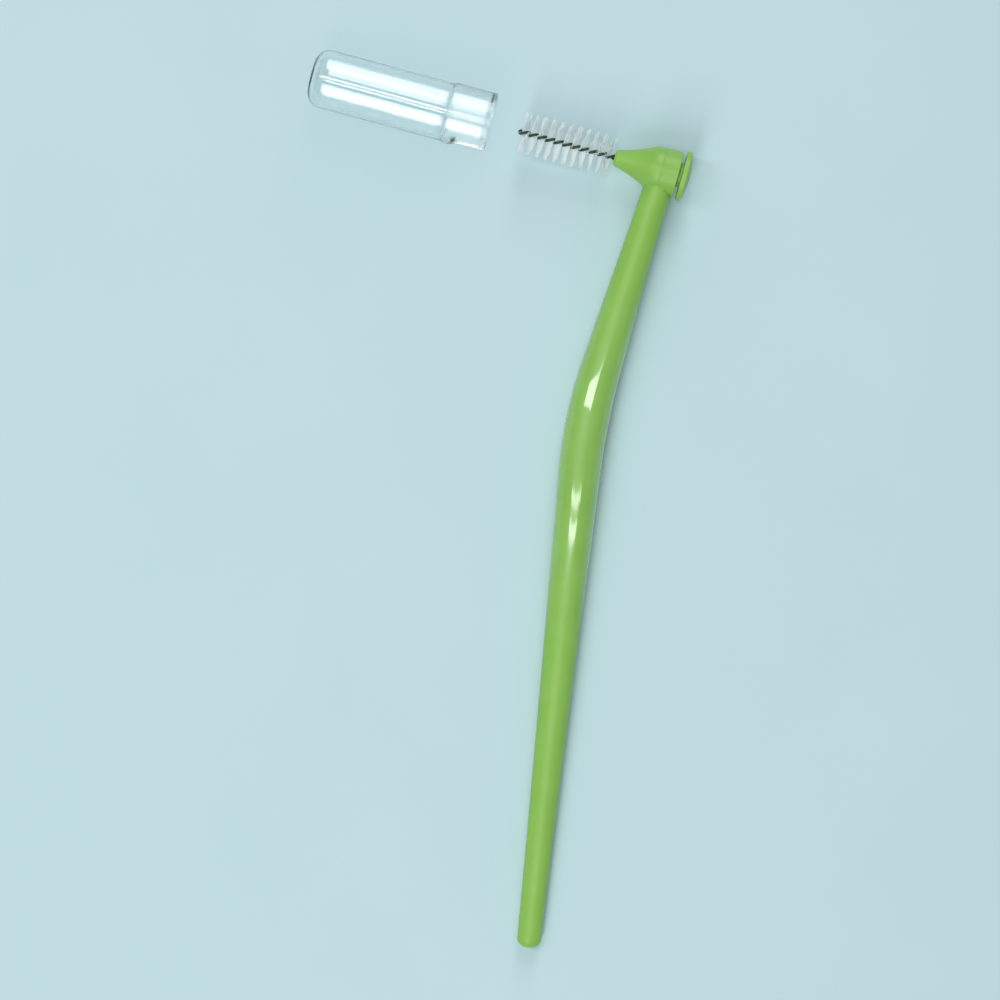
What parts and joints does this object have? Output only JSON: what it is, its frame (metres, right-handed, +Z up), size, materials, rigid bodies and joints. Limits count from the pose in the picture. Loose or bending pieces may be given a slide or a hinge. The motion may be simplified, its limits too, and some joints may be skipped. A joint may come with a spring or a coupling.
{
  "type": "interdental brush",
  "caption": "Angled interdental brush: oval handle with a bent grip, flared head, twisted coated wire with nylon bristles, and a clear slotted cap that slides over the head.",
  "frame": {"origin": "on the wire's axis, in the front face of the stop disc behind the head", "axes": "+X runs back along the wire's axis, from the bristles to the stop disc; the handle runs towards -Y; +Z is up from the table that the brush and its cap lie on"},
  "size_m": [0.063, 0.115, 0.0087],
  "materials": {
    "handle_plastic": "satin moulded polypropylene, fresh green",
    "wire_steel": "drawn stainless steel wire",
    "wire_plastic": "thin dark green coating",
    "nylon": "translucent white nylon filament",
    "clear_plastic": "clear moulded plastic"
  },
  "bodies": {
    "brush": {"handle": "handle_plastic", "wire_core": "wire_steel", "wire_coating": "wire_plastic", "bristle_row_01": "nylon", "bristle_row_02": "nylon", "bristle_row_03": "nylon", "bristle_row_04": "nylon", "bristle_row_05": "nylon", "bristle_row_06": "nylon", "bristle_row_07": "nylon", "bristle_row_08": "nylon", "bristle_row_09": "nylon", "bristle_row_10": "nylon", "bristle_row_11": "nylon"},
    "cap": {"protective_cap": "clear_plastic"}
  },
  "joints": [
    {"name": "cap_slide", "type": "slide", "parent": "brush", "child": "cap", "axis": [1, 0, 0], "range_m": [0, 0.02775]}
  ]
}
